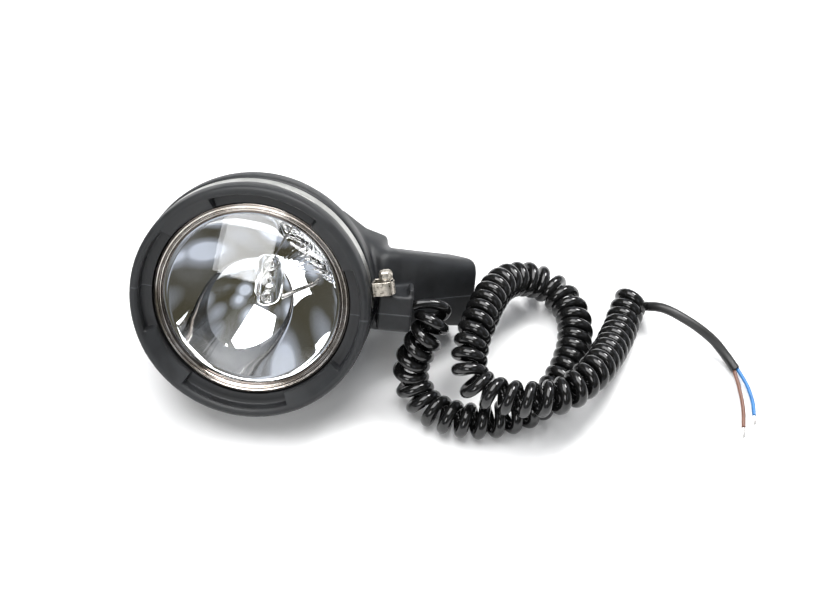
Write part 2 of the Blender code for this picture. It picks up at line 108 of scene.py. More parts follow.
# ---------------------------------------------------------------- materials
class Paint:
    """A node material under construction: its Principled shader and short ways to add nodes."""

    def __init__(self, name, colour, roughness, metallic=0.0, **sockets):
        self.material = bpy.data.materials.new(name)
        self.material.use_nodes = True
        self.nodes = self.material.node_tree.nodes
        self.links = self.material.node_tree.links
        self.shader = self.nodes["Principled BSDF"]
        self.shader.inputs["Base Color"].default_value = (*colour, 1.0)
        self.shader.inputs["Roughness"].default_value = roughness
        self.shader.inputs["Metallic"].default_value = metallic
        for socket, value in sockets.items():
            self.shader.inputs[socket.replace("_", " ")].default_value = value
        self.place = self.nodes.new("ShaderNodeTexCoord").outputs["Object"]
        self.normal = None

    def in_lamp(self):
        """From here on, coordinates are those of the lamp's own frame."""
        self.place = self.add("ShaderNodeMapping", {"vector_type": "TEXTURE"}, Vector=self.place,
                              Location=LAMP_AT, Rotation=LAMP.to_euler()).outputs["Vector"]

    def add(self, kind, settings=(), **inputs):
        node = self.nodes.new(kind)
        for name, value in dict(settings).items():
            setattr(node, name, value)
        for name, value in inputs.items():
            socket = node.inputs[int(name[1:])] if name[0] == "i" and name[1:].isdigit() else node.inputs[
                name.replace("_", " ")]
            if isinstance(value, bpy.types.NodeSocket):
                self.links.new(value, socket)
            else:
                socket.default_value = value
        return node

    def noise(self, scale, detail=3.0, roughness=0.55, vector=None, distortion=0.0):
        return self.add("ShaderNodeTexNoise", Vector=vector or self.place, Scale=scale, Detail=detail,
                        Roughness=roughness, Distortion=distortion).outputs["Fac"]

    def spread(self, value, low, high, to_low, to_high, smooth=False):
        kind = {"interpolation_type": "SMOOTHSTEP"} if smooth else {}
        return self.add("ShaderNodeMapRange", kind, Value=value, From_Min=low, From_Max=high,
                        To_Min=to_low, To_Max=to_high).outputs["Result"]

    def maths(self, operation, a, b=0.0):
        return self.add("ShaderNodeMath", {"operation": operation}, i0=a, i1=b).outputs["Value"]

    def blend(self, amount, one, other):
        one, other = [(*c, 1.0) if isinstance(c, tuple) else c for c in (one, other)]
        return self.add("ShaderNodeMix", {"data_type": "RGBA"}, i0=amount, i6=one, i7=other).outputs[2]

    def mottle(self, value, low, high, dark, light):
        """Dark where value is low, light where it is high."""
        return self.blend(self.spread(value, low, high, 0.0, 1.0, True), dark, light)

    def axes(self, vector=None):
        return self.add("ShaderNodeSeparateXYZ", Vector=vector or self.place).outputs

    def colour(self, value):
        self.links.new(value, self.shader.inputs["Base Color"])

    def roughness(self, value):
        self.links.new(value, self.shader.inputs["Roughness"])

    def bump(self, height, distance, strength=1.0):
        inputs = {"Height": height, "Distance": distance, "Strength": strength}
        if self.normal is not None:
            inputs["Normal"] = self.normal
        self.normal = self.add("ShaderNodeBump", **inputs).outputs["Normal"]
        self.links.new(self.normal, self.shader.inputs["Normal"])


def rubber_paint():
    """Moulded rubber: blue-grey, satin, cloudy with handling, with the mould's parting line."""
    paint = Paint("moulded_rubber", (0.04, 0.045, 0.052), 0.5)
    paint.in_lamp()
    cloud = paint.noise(38.0, 4.0, 0.6, distortion=0.6)
    patch = paint.noise(150.0, 3.0, 0.6)
    mixed = paint.maths("ADD", paint.maths("MULTIPLY", cloud, 0.65), paint.maths("MULTIPLY", patch, 0.35))
    tint = paint.mottle(mixed, 0.36, 0.66, (0.0045, 0.005, 0.006), (0.011, 0.0125, 0.0145))
    across = paint.maths("ABSOLUTE", paint.axes()["Y"])
    line = paint.spread(across, 0.15 * MM, 0.55 * MM, 1.0, 0.0, True)
    paint.colour(paint.blend(paint.maths("MULTIPLY", line, 0.45), tint, (0.06, 0.066, 0.075)))
    paint.roughness(paint.spread(mixed, 0.3, 0.7, 0.44, 0.64))
    paint.bump(line, 0.25 * MM)
    paint.bump(paint.noise(900.0, 2.0, 0.6), 0.04 * MM)
    paint.bump(cloud, 0.7 * MM, 0.35)
    return paint.material


def steel_paint(name="stainless_strip", along="Z", tint=(0.42, 0.42, 0.40), dull=0.34):
    """Rolled stainless strip with fine lines."""
    paint = Paint(name, tint, dull, 1.0)
    paint.in_lamp()
    stretch = {"X": (30.0, 2600.0, 2600.0), "Y": (2600.0, 30.0, 2600.0), "Z": (160.0, 160.0, 5200.0)}[along]
    lines = paint.add("ShaderNodeMapping", Vector=paint.place, Scale=stretch).outputs["Vector"]
    grain = paint.noise(1.0, 2.0, 0.6, vector=lines)
    cloud = paint.noise(90.0, 3.0)
    paint.roughness(paint.spread(grain, 0.25, 0.75, dull - 0.08, dull + 0.10))
    dark = tuple(0.72 * c for c in tint)
    paint.colour(paint.mottle(cloud, 0.35, 0.7, dark, tint))
    paint.bump(grain, 0.02 * MM, 0.6)
    return paint.material


def chrome_paint():
    """Bright plating of the ring, with fine turned lines that follow it round, and painted reflection: dark
    concentric bands in its colour.
    """
    paint = Paint("plated_ring", (0.78, 0.74, 0.68), 0.10, 1.0)
    paint.in_lamp()
    axes = paint.axes()
    radius = paint.maths("SQRT", paint.maths("ADD", paint.maths("MULTIPLY", axes["X"], axes["X"]),
                                             paint.maths("MULTIPLY", axes["Y"], axes["Y"])))
    rounds = paint.add("ShaderNodeCombineXYZ", X=radius, Y=axes["Z"], Z=0.0).outputs["Vector"]
    fine = paint.noise(2300.0, 2.0, 0.7, vector=rounds)
    cloud = paint.noise(120.0, 4.0, 0.65)
    spots = paint.noise(700.0, 3.0, 0.7)
    paint.bump(fine, 0.035 * MM)
    paint.bump(spots, 0.05 * MM, 0.5)
    paint.roughness(paint.spread(cloud, 0.3, 0.7, 0.07, 0.2))
    plating = paint.mottle(cloud, 0.3, 0.75, (0.60, 0.54, 0.48), (0.80, 0.77, 0.73))
    # Painted reflection: near-black concentric bands round the ring, standing in for the dark lines that its
    # beads reflect.
    dark_reflection_bands = paint.noise(1250.0, 1.0, 0.5, vector=rounds)
    paint.colour(paint.mottle(dark_reflection_bands, 0.42, 0.56, (0.10, 0.085, 0.075), plating))
    return paint.material


def mirror_paint():
    """Vacuum-coated bowl: a near perfect mirror, with faint waves and specks."""
    paint = Paint("mirror_coating", (0.86, 0.86, 0.87), 0.03, 1.0)
    speck = paint.noise(420.0, 3.0, 0.7)
    wave = paint.noise(26.0, 2.0, 0.5)
    paint.roughness(paint.spread(speck, 0.55, 0.8, 0.02, 0.09, True))
    paint.colour(paint.mottle(wave, 0.3, 0.7, (0.83, 0.83, 0.83), (0.90, 0.90, 0.92)))
    paint.bump(wave, 0.25 * MM, 0.35)
    return paint.material


def glass_paint():
    """Clear lens glass with a trace of dust."""
    paint = Paint("lens_glass", (0.97, 0.985, 0.99), 0.0, 0.0, Transmission_Weight=1.0, IOR=1.45)
    dust = paint.noise(650.0, 4.0, 0.75)
    paint.roughness(paint.spread(dust, 0.66, 0.80, 0.0, 0.05, True))
    return paint.material


def cord_paint():
    """Glossy sheath on the coil, going matt on the straight tail."""
    paint = Paint("cord_sheath", (0.008, 0.008, 0.008), 0.14)
    far = paint.axes()["X"]
    straight = paint.spread(far, 0.216, 0.224, 0.0, 1.0, True)
    scuff = paint.noise(260.0, 4.0, 0.65)
    gloss = paint.spread(scuff, 0.35, 0.75, 0.09, 0.2)
    paint.roughness(paint.maths("ADD", gloss, paint.maths("MULTIPLY", straight, 0.27)))
    paint.colour(paint.blend(straight, (0.006, 0.006, 0.006), (0.011, 0.011, 0.011)))
    paint.bump(paint.noise(500.0, 3.0, 0.6), 0.05 * MM, 0.35)
    return paint.material


def core_paint(name, dark, light):
    """Insulation of a core, smooth with a few scuffs."""
    paint = Paint(name, light, 0.42)
    scuff = paint.noise(420.0, 4.0, 0.65)
    paint.colour(paint.mottle(scuff, 0.3, 0.7, dark, light))
    paint.roughness(paint.spread(scuff, 0.3, 0.7, 0.34, 0.5))
    paint.bump(scuff, 0.05 * MM, 0.4)
    return paint.material


def metal_paint(name, dark, light, smooth, rough, scale=300.0):
    """Metal with blotches of colour and shine."""
    paint = Paint(name, light, smooth, 1.0)
    blotch = paint.noise(scale, 4.0, 0.65)
    paint.colour(paint.mottle(blotch, 0.3, 0.7, dark, light))
    paint.roughness(paint.spread(blotch, 0.3, 0.7, smooth, rough))
    paint.bump(paint.noise(4 * scale, 2.0), 0.02 * MM, 0.5)
    return paint.material


def nylon_paint():
    paint = Paint("black_nylon", (0.02, 0.02, 0.021), 0.42)
    grain = paint.noise(600.0, 3.0)
    paint.roughness(paint.spread(grain, 0.3, 0.7, 0.36, 0.5))
    paint.bump(grain, 0.04 * MM, 0.5)
    return paint.material


RUBBER = rubber_paint()
STRIP = steel_paint()
SCREW_STEEL = metal_paint("screw_steel", (0.36, 0.33, 0.28), (0.66, 0.61, 0.54), 0.22, 0.42, 420.0)
CHROME = chrome_paint()
FERRULE_CHROME = metal_paint("ferrule_plating", (0.72, 0.70, 0.68), (0.88, 0.87, 0.86), 0.05, 0.14)
MIRROR = mirror_paint()
GLASS = glass_paint()
SHEATH = cord_paint()
BLUE = core_paint("blue_insulation", (0.018, 0.13, 0.36), (0.035, 0.20, 0.48))
BROWN = core_paint("brown_insulation", (0.13, 0.055, 0.035), (0.20, 0.095, 0.065))
TIN = metal_paint("tinned_copper", (0.45, 0.44, 0.43), (0.74, 0.73, 0.71), 0.2, 0.38, 900.0)
BRASS = metal_paint("turned_brass", (0.50, 0.36, 0.13), (0.70, 0.54, 0.25), 0.22, 0.4)
TUNGSTEN = metal_paint("tungsten_wire", (0.45, 0.42, 0.39), (0.66, 0.63, 0.60), 0.2, 0.35, 700.0)
NYLON = nylon_paint()


# ---------------------------------------------------------------- mesh helpers
def mesh_from(name, points, faces):
    mesh = bpy.data.meshes.new(name)
    mesh.from_pydata([tuple(p) for p in points], [], [tuple(f) for f in faces])
    mesh.validate()
    return mesh


def quads(rows, count, loop=False, ring=True):
    """Faces between successive rows of count points each. loop joins the last row to the first."""
    faces = []
    for k in range(rows if loop else rows - 1):
        n = (k + 1) % rows
        for j in range(count if ring else count - 1):
            m = (j + 1) % count
            faces.append((k * count + j, k * count + m, n * count + m, n * count + j))
    return faces


def welded(name, points, faces):
    """A mesh with its coincident points merged and its faces turned outwards."""
    mesh = bpy.data.meshes.new(name)
    bm = bmesh.new()
    verts = [bm.verts.new(p) for p in points]
    for face in faces:
        bm.faces.new([verts[i] for i in face])
    bmesh.ops.remove_doubles(bm, verts=bm.verts, dist=1e-6)
    bmesh.ops.recalc_face_normals(bm, faces=bm.faces)
    bm.to_mesh(mesh)
    bm.free()
    return mesh


def circle(radius, z, steps):
    """Points round Z at a height, for a row of quads."""
    turns = [2 * math.pi * k / steps for k in range(steps)]
    return [(radius * math.cos(turn), radius * math.sin(turn), z) for turn in turns]


def piece(name, data, paint, body="root", replaces=(), place=None, sharp=38.0):
    """Object of the part: moved into the row frame, painted, smoothed, tied to its body, with the CAD nodes
    it replaces hidden.
    """
    data.transform(LAMP if place is None else place)
    made = bpy.data.objects.new(name, data)
    bpy.context.scene.collection.objects.link(made)
    data.materials.append(paint)
    if made.type == "MESH":
        data.shade_smooth()
        data.set_sharp_from_angle(angle=math.radians(sharp))
    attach(made, body)
    if replaces:
        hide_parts(*replaces)
    return made


def rounded(points, radius, steps=4, closed=True):
    """An outline with each of its corners rounded, by at most radius."""
    count = len(points)
    made = []
    for i, point in enumerate(points):
        here = np.array(point, float)
        if not closed and i in (0, count - 1):
            made.append(tuple(here))
            continue
        before = np.array(points[i - 1], float) - here
        after = np.array(points[(i + 1) % count], float) - here
        cut = min(radius, 0.45 * np.linalg.norm(before), 0.45 * np.linalg.norm(after))
        start = here + before / np.linalg.norm(before) * cut
        end = here + after / np.linalg.norm(after) * cut
        for k in range(steps + 1):
            t = k / steps
            made.append(tuple((1 - t) ** 2 * start + 2 * t * (1 - t) * here + t * t * end))
    return made


def turned(name, profile, steps=160, closed=True):
    """Mesh turned about Z from (radius, z) millimetres; profile may also be a function of the angle."""
    rows = []
    for k in range(steps):
        angle = 2 * math.pi * k / steps
        outline = profile(angle) if callable(profile) else profile
        rows.append([(r * math.cos(angle), r * math.sin(angle), z) for r, z in outline])
    points = np.array(rows).reshape(-1, 3) * MM
    return welded(name, points, quads(steps, len(rows[0]), loop=True, ring=closed))


def smooth_route(points, spacing):
    """Evenly spaced points on the smooth curve through a route's own points, an array."""
    p = np.array(points, float)
    ends = np.vstack([2 * p[0] - p[1], p, 2 * p[-1] - p[-2]])
    t = np.linspace(0, 1, 20, endpoint=False)[:, None]
    fine = []
    for a, b, c, d in zip(ends, ends[1:], ends[2:], ends[3:]):
        fine.append(0.5 * (2 * b + (c - a) * t + (2 * a - 5 * b + 4 * c - d) * t ** 2
                           + (3 * b - a - 3 * c + d) * t ** 3))
    fine = np.vstack(fine + [p[-1:]])
    return evenly(fine, spacing)


def evenly(line, spacing):
    """The same polyline with evenly spaced points."""
    run = np.concatenate([[0.0], np.cumsum(np.linalg.norm(np.diff(line, axis=0), axis=1))])
    at = np.linspace(0.0, run[-1], max(3, round(run[-1] / spacing) + 1))
    return np.stack([np.interp(at, run, line[:, k]) for k in range(3)], axis=1)


def tube(name, line, diameter, sides=5, swell=None):
    """A round tube as a curve of one open spline. line is millimetres; swell scales each point."""
    curve = bpy.data.curves.new(name, "CURVE")
    curve.dimensions = "3D"
    curve.bevel_depth = diameter / 2 * MM
    curve.bevel_resolution = sides
    curve.use_fill_caps = True
    spline = curve.splines.new("POLY")
    spline.points.add(len(line) - 1)
    flat = np.ones((len(line), 4))
    flat[:, :3] = np.array(line) * MM
    spline.points.foreach_set("co", flat.ravel())
    if swell is not None:
        spline.points.foreach_set("radius", swell)
    spline.use_smooth = True
    return curve


# ---------------------------------------------------------------- cord
LEADOUT = [(66.7, -6.0, 62.2), (69.6, -4.9, 63.2), (72.6, -3.4, 63.9)]
COIL = [(79.8, -2.0, 56.4), (79.4, -9.0, 54.2), (77.6, -14.5, 50.2), (74.6, -18.2, 45.2), (71.2, -21.0, 40.0),
        (68, -24, 34), (66, -28, 27),
        (66, -33, 20), (70, -40, 15), (76, -47, 12), (83, -52, 12), (92, -56, 12), (102, -58, 12),
        (113, -58, 12), (124, -56, 12), (135, -52, 12), (145, -46, 12), (154, -38, 12), (161, -27, 12),
        (167, -14, 12), (171, 1, 12), (172, 16, 12), (169, 30, 12), (161, 41, 13), (151, 46, 17),
        (141, 44, 24), (130, 37, 32), (121, 24, 41), (114, 8, 46), (108, -9, 48), (103, -25, 46),
        (102, -38, 43), (105, -48, 40), (113, -53, 38), (122, -57, 38), (134, -59, 38), (146, -59, 38),
        (158, -56, 37), (169, -49, 37), (180, -36, 34), (189, -19, 26), (197, 0, 18), (203, 17, 13),
        (208, 31, 12), (212, 39, 12)]
TAIL = [(220.6, 28.7, 15.2), (225.8, 26.5, 17.5), (232.0, 23.4, 18.5), (240.1, 18.5, 18.0),
        (251.5, 11.5, 15.0), (261.7, 4.0, 10.5), (269.1, -5.1, 6.5), (274.6, -14.0, 4.2)]
CORES = {
    "brown": [(273.7, -15.1, 4.1), (275.8, -27.5, 3.0), (276.9, -42.0, 1.8), (275.8, -56.0, 1.4)],
    "blue": [(276.0, -13.7, 4.1), (280.9, -25.5, 3.2), (283.4, -37.0, 2.0), (283.4, -47.1, 1.4)],
}
TIPS = {
    "brown": [(275.8, -56.5, 1.35), (275.4, -60.0, 1.1), (275.0, -63.2, 0.95)],
    "blue": [(283.4, -47.6, 1.35), (283.3, -50.6, 1.1), (283.0, -53.6, 0.95)],
}
# How far the coil is stretched, against the distance along it: 1 is where the turns touch.
STRETCH_AT = [0, 25, 60, 90, 130, 165, 190, 240, 258, 295, 312, 368, 384, 400, 430, 450, 470, 500, 560]
STRETCH = [1.15, 1.25, 1.3, 1.35, 1.4, 1.3, 1.0, 1.0, 1.3, 1.3, 1.0,
           1.0, 1.2, 1.45, 1.45, 1.25, 1.12, 1.0, 1.0]
TOUCHING = 7.45  # pitch where the turns touch
TURN_POINTS = 26
SOFTENED = 8  # points on each side of a join that are smoothed


def coil_frames(axis):
    """Tangent and two side directions along an axis, with no twist between them."""
    tangent = np.gradient(axis, axis=0)
    tangent /= np.linalg.norm(tangent, axis=1)[:, None]
    side = np.cross(tangent[0], (0.0, 0.0, 1.0))
    side /= np.linalg.norm(side)
    sides = []
    for t in tangent:
        side = side - t * (side @ t)
        side = side / np.linalg.norm(side)
        sides.append(side)
    sides = np.array(sides)
    return tangent, sides, np.cross(tangent, sides)


def cord_line():
    """The cord's whole centreline: lead-out, left-handed helix round the coil's axis, tail."""
    axis = smooth_route(COIL, 0.5)
    tangent, side, other = coil_frames(axis)
    run = 0.5 * np.arange(len(axis))
    bend = np.linalg.norm(np.gradient(tangent, axis=0), axis=1) / 0.5
    bend = np.convolve(np.pad(bend, 20, mode="edge"), np.ones(41) / 41, mode="valid")
    helix_r = (COIL_D - COILED_D) / 2
    pitch = TOUCHING * np.interp(run, STRETCH_AT, STRETCH)
    pitch = np.maximum(pitch, (COILED_D + 0.1) / np.maximum(1 - 0.75 * helix_r * bend, 0.6))
    turn = np.concatenate([[0.0], np.cumsum(2 * math.pi * 0.5 / pitch)[:-1]])

    start = np.array((0.0, 0.0, 1.0))
    first = math.atan2(start @ other[0], start @ side[0])
    leave = np.array(TAIL[0]) - axis[-1]
    last = math.atan2(leave @ other[-1], leave @ side[-1]) + 0.35
    whole = turn[-1] + (first - turn[-1] - last) % (2 * math.pi)
    if whole - turn[-1] > math.pi:
        whole -= 2 * math.pi
    turn *= whole / turn[-1]

    fine = np.arange(0.0, turn[-1], 2 * math.pi / TURN_POINTS)
    at = np.interp(fine, turn, np.arange(len(axis)))

    def along(values):
        return np.stack([np.interp(at, np.arange(len(axis)), values[:, k]) for k in range(3)], axis=1)

    angle = first - fine
    wobble = 1.0 + 0.012 * np.sin(0.37 * fine) + 0.008 * np.sin(1.31 * fine + 1.0)
    helix = along(axis) + helix_r * wobble[:, None] * (np.cos(angle)[:, None] * along(side)
                                                       + np.sin(angle)[:, None] * along(other))
    skip = 3
    lead = smooth_route(LEADOUT, 1.2)[:-1]
    tail = smooth_route(TAIL, 1.4)[1:]
    joined = np.vstack([lead, helix[:-skip], tail])
    for middle in (len(lead), len(joined) - len(tail)):
        low = max(1, middle - SOFTENED)
        high = min(len(joined) - 1, middle + SOFTENED)
        share = 0.7 * np.cos(0.5 * math.pi * (np.arange(low, high) - middle) / SOFTENED)[:, None] ** 2
        for _ in range(9):
            between = 0.5 * (joined[low - 1:high - 1] + joined[low + 1:high + 1])
            joined[low:high] += share * (between - joined[low:high])
    print("cord turns", round(turn[-1] / (2 * math.pi), 1), "length mm",
          round(float(np.linalg.norm(np.diff(joined, axis=0), axis=1).sum())))
    joined = evenly(joined, 1.6)
    run = np.linalg.norm(np.diff(joined, axis=0), axis=1).cumsum()
    # The sheath grows thicker over the first turn and thinner again over the last one.
    places = [0.0, 12.0, 30.0, run[-1] - 100.0, run[-1] - 82.0, run[-1]]
    thick = COILED_D / CORD_D
    swell = np.interp(np.concatenate([[0.0], run]), places, [1.0, 1.0, thick, thick, 1.0, 1.0])
    return joined, swell


def strands(name, route, count, radius):
    """Fine tinned strands that fan out a little from a core's end."""
    points = []
    faces = []
    line = smooth_route(route, 0.5)
    for k in range(count):
        turn = 2.399963 * k
        out = radius * math.sqrt((k + 0.5) / count)
        shift = np.array((math.cos(turn), 0.25 * math.sin(turn), 0.8 * math.sin(turn))) * out
        for j, spot in enumerate(line[:len(line) - (k * 7) % 3]):
            share = j / (len(line) - 1)
            twist = turn + 1.5 * share
            spread = np.array((math.cos(twist), 0.0, math.sin(twist))) * out * (0.85 + 0.45 * share)
            middle = spot + (0.3 * shift + 0.7 * spread)
            middle[2] = max(middle[2], 0.2)
            for side in range(5):
                around = 2 * math.pi * side / 5
                points.append((middle + 0.14 * np.array((math.cos(around), 0.0, math.sin(around)))) * MM)
            if j:
                base = len(points) - 10
                for side in range(5):
                    n = (side + 1) % 5
                    faces.append((base + side, base + n, base + 5 + n, base + 5 + side))
    return mesh_from(name, points, faces)


def make_cord():
    line, swell = cord_line()
    whole = piece("curly_cord", tube("curly_cord", line, CORD_D, 6, swell), SHEATH,
                  replaces=("cord_leadout", "cord_coil", "cord_tail"), place=Matrix.Identity(4))
    for colour, paint in (("brown", BROWN), ("blue", BLUE)):
        route = smooth_route(CORES[colour], 1.0)
        inner = route[0] + (route[0] - route[1]) / np.linalg.norm(route[0] - route[1]) * 2.0
        route = np.vstack([inner, route])
        core = piece(f"{colour}_core", tube(f"{colour}_core", route, CORE_D, 5), paint,
                     replaces=(f"core_{colour}",), place=Matrix.Identity(4))
        ends = piece(f"{colour}_strands", strands(f"{colour}_strands", TIPS[colour], 19, 0.72), TIN,
                     replaces=(f"core_tip_{colour}",), place=Matrix.Identity(4))


# ---------------------------------------------------------------- rubber head and grip
def smooth_min(a, b, width):
    share = np.clip(0.5 + 0.5 * (b - a) / width, 0.0, 1.0)
    return b * (1 - share) + a * share - width * share * (1 - share)


def smooth_max(a, b, width):
    return -smooth_min(-a, -b, width)


class Outline:
    """Signed distance to a closed (radius, z) outline, tabled so that many points are quick."""

    STEP = 0.5
    LOW = (-2.0, -122.0)
    SIZE = (240, 250)

    def __init__(self, points):
        r = self.LOW[0] + self.STEP * np.arange(self.SIZE[0])[:, None]
        z = self.LOW[1] + self.STEP * np.arange(self.SIZE[1])[None, :]
        nearest = np.full(self.SIZE, 1e9)
        inside = np.zeros(self.SIZE, bool)
        for (ar, az), (br, bz) in zip(points, points[1:] + points[:1]):
            length = max((br - ar) ** 2 + (bz - az) ** 2, 1e-9)
            t = np.clip(((r - ar) * (br - ar) + (z - az) * (bz - az)) / length, 0.0, 1.0)
            nearest = np.minimum(nearest, (r - ar - t * (br - ar)) ** 2 + (z - az - t * (bz - az)) ** 2)
            if abs(bz - az) > 1e-9:
                crosses = (az > z) != (bz > z)
                inside ^= crosses & (r < (br - ar) * (z - az) / (bz - az) + ar)
        self.table = np.where(inside, -1.0, 1.0) * np.sqrt(nearest)

    def __call__(self, r, z):
        u = np.clip((r - self.LOW[0]) / self.STEP, 0, self.SIZE[0] - 1.001)
        v = np.clip((z - self.LOW[1]) / self.STEP, 0, self.SIZE[1] - 1.001)
        i = u.astype(int)
        j = v.astype(int)
        u = u - i
        v = v - j
        t = self.table
        return ((t[i, j] * (1 - u) + t[i + 1, j] * u) * (1 - v)
                + (t[i, j + 1] * (1 - u) + t[i + 1, j + 1] * u) * v)


def mirrored(half):
    """A half outline that starts and ends on the axis, with its mirror image, closed across it."""
    return half + [(-r, z) for r, z in reversed(half)]


def housing_field():
    """Signed distance of the rubber moulding as a function of points in the lamp's frame."""
    shell = [(0.0, -11.3), (70.3, -11.3), (70.3, -21.6), (71.4, -22.3), (73.2, -22.6), (74.2, -23.4),
             (74.6, -26.0), (74.5, -30.0), (74.1, -34.0), (73.2, -38.5), (71.6, -43.2), (69.2, -48.4),
             (66.0, -53.5), (61.6, -58.9), (56.0, -64.0), (49.4, -68.7), (42.0, -72.5), (33.4, -75.9),
             (24.0, -78.4), (17.0, -79.5), (11.0, -80.0), (0.0, -80.0)]
    hollow = [(0.0, -5.0), (BORE_R, -5.0), (BORE_R, -17.2), (55.0, -17.2), (55.0, -20.6), (66.0, -22.6),
              (69.8, -27.0), (69.6, -33.0), (67.2, -41.5), (61.8, -51.0), (52.5, -60.5), (39.5, -68.3),
              (22.5, -74.0), (12.0, -75.4), (0.0, -75.4)]
    outer = Outline(mirrored(shell))
    inner = Outline(mirrored(hollow))

    # Stations of the neck along X, and of the grip down its raked axis.
    neck_x = [18.0, 46.0, 60.0, 73.0]
    neck_half = ([54.0, 43.0, 33.0, 28.0], [4.0, 6.8, 6.6, 6.6], [16.0, 20.0, 22.5, 22.5],
                 [-54.0, -54.0, -56.0, -59.5], [2.6, 2.7, 2.9, 3.2])
    grip_s = [-6.0, 2.0, 14.0, 36.0, 57.0, 67.0]
    grip_half = ([28.0, 27.9, 26.9, 25.3, 24.9, 24.8], [7.0, 6.6, 5.4, 2.9, -0.3, -1.4],
                 [23.2, 23.0, 21.6, 21.4, 22.4, 22.4], [0.0, 0.0, 0.0, 0.8, 2.4, 2.4],
                 [3.2, 3.3, 3.4, 3.5, 3.6, 3.6])
    boss_turn = math.radians(8.0)
    boss_at = (85.6, 0.5, -36.0)
    boss_half = (10.4, 11.5, 17.0)

    def stations(at, places, halves):
        return [np.interp(at, places, values) for values in halves]

    def superellipse(across, deep, half_across, half_deep, power):
        size = ((np.abs(across) / half_across) ** power + (np.abs(deep) / half_deep) ** power) ** (1 / power)
        return (size - 1.0) * np.minimum(half_across, half_deep)

    def rounded_box(a, b, c, halves, radius):
        q = [np.abs(v) - (h - radius) for v, h in zip((a, b, c), halves)]
        outside = np.sqrt(sum(np.maximum(v, 0.0) ** 2 for v in q))
        return outside + np.minimum(np.maximum(np.maximum(q[0], q[1]), q[2]), 0.0) - radius

    def field(x, y, z):
        r = np.hypot(x, y)
        head = outer(r, z)

        half_across, aside, half_deep, middle, power = stations(x, neck_x, neck_half)
        neck = superellipse(y - aside, z - middle, half_across, half_deep, power)
        neck = smooth_max(neck, np.maximum(18.0 - x, x - 74.0), 3.0)

        along = (x - GRIP_START[0]) * GRIP_ALONG[0] + (z - GRIP_START[2]) * GRIP_ALONG[2]
        back = (x - GRIP_START[0]) * GRIP_BACK[0] + (z - GRIP_START[2]) * GRIP_BACK[2]
        half_across, aside, half_deep, shift, power = stations(along, grip_s, grip_half)
        taper = np.clip(1.0 - 0.36 * (back + 21.0) / 43.0, 0.6, 1.02)  # narrower towards its back
        grip = superellipse((y - aside) / taper, back - shift, half_across, half_deep, power + 1.4)
        grip = smooth_max(grip, along - GRIP_END, 2.6)
        grip = smooth_max(grip, -14.0 - along, 8.0)

        c, s = math.cos(boss_turn), math.sin(boss_turn)
        bx, bz = x - boss_at[0], z - boss_at[2]
        out, up = c * bx - s * bz, s * bx + c * bz
        boss = rounded_box(out, y - boss_at[1], up, boss_half, 1.6)
        lip = rounded_box(out - 8.9, y - 13.2, up - 8.0, (1.5, 3.2, 7.0), 1.1)
        ring = np.hypot(np.hypot(y - CORD_EXIT[1], z - CORD_EXIT[2]) - 4.4, x - 95.0) - 1.5
        boss = smooth_min(boss, lip, 2.0)
        boss = smooth_min(boss, ring, 1.5)

        body = smooth_min(head, smooth_min(neck, grip, 4.0), 3.0)
        # The seat of the bumper and the clamp stays a clean round shoulder.
        clear = np.maximum(z + 21.9, 70.3 - r)
        body = np.where((z > -21.9) & (x < 73.5), np.where(r > 70.3, np.maximum(body, clear), head), body)
        body = smooth_min(body, boss, 2.2)
        body = np.maximum(body, np.where(z > -22.4, np.minimum(74.9 - r, 4.0) * (r > 70.3), -9.0))
        body = np.maximum(body, -inner(r, z))

        core_s = stations(along, [-10.0, 14.0, 54.0], ([18.0, 18.0, 17.0], [14.5, 15.0, 14.0]))
        core = superellipse(y / taper, back, core_s[0], core_s[1], 3.2)
        core = smooth_max(core, np.maximum(-24.0 - along, along - 54.0), 3.0)
        body = np.maximum(body, -core)
        way = np.maximum(np.hypot(y - CORD_EXIT[1], z - CORD_EXIT[2]) - 3.45, 50.0 - x)
        body = np.maximum(body, -way)
        bore_x = (x - GRIP_START[0] - 16 * GRIP_ALONG[0], z - GRIP_START[2] - 16 * GRIP_ALONG[2])
        out = bore_x[0] * GRIP_BACK[0] + bore_x[1] * GRIP_BACK[2]
        off = np.hypot(y, bore_x[0] * GRIP_ALONG[0] + bore_x[1] * GRIP_ALONG[2])
        bore = np.maximum(off - 8.3, 5.0 - out)
        return np.maximum(body, -bore)

    return field


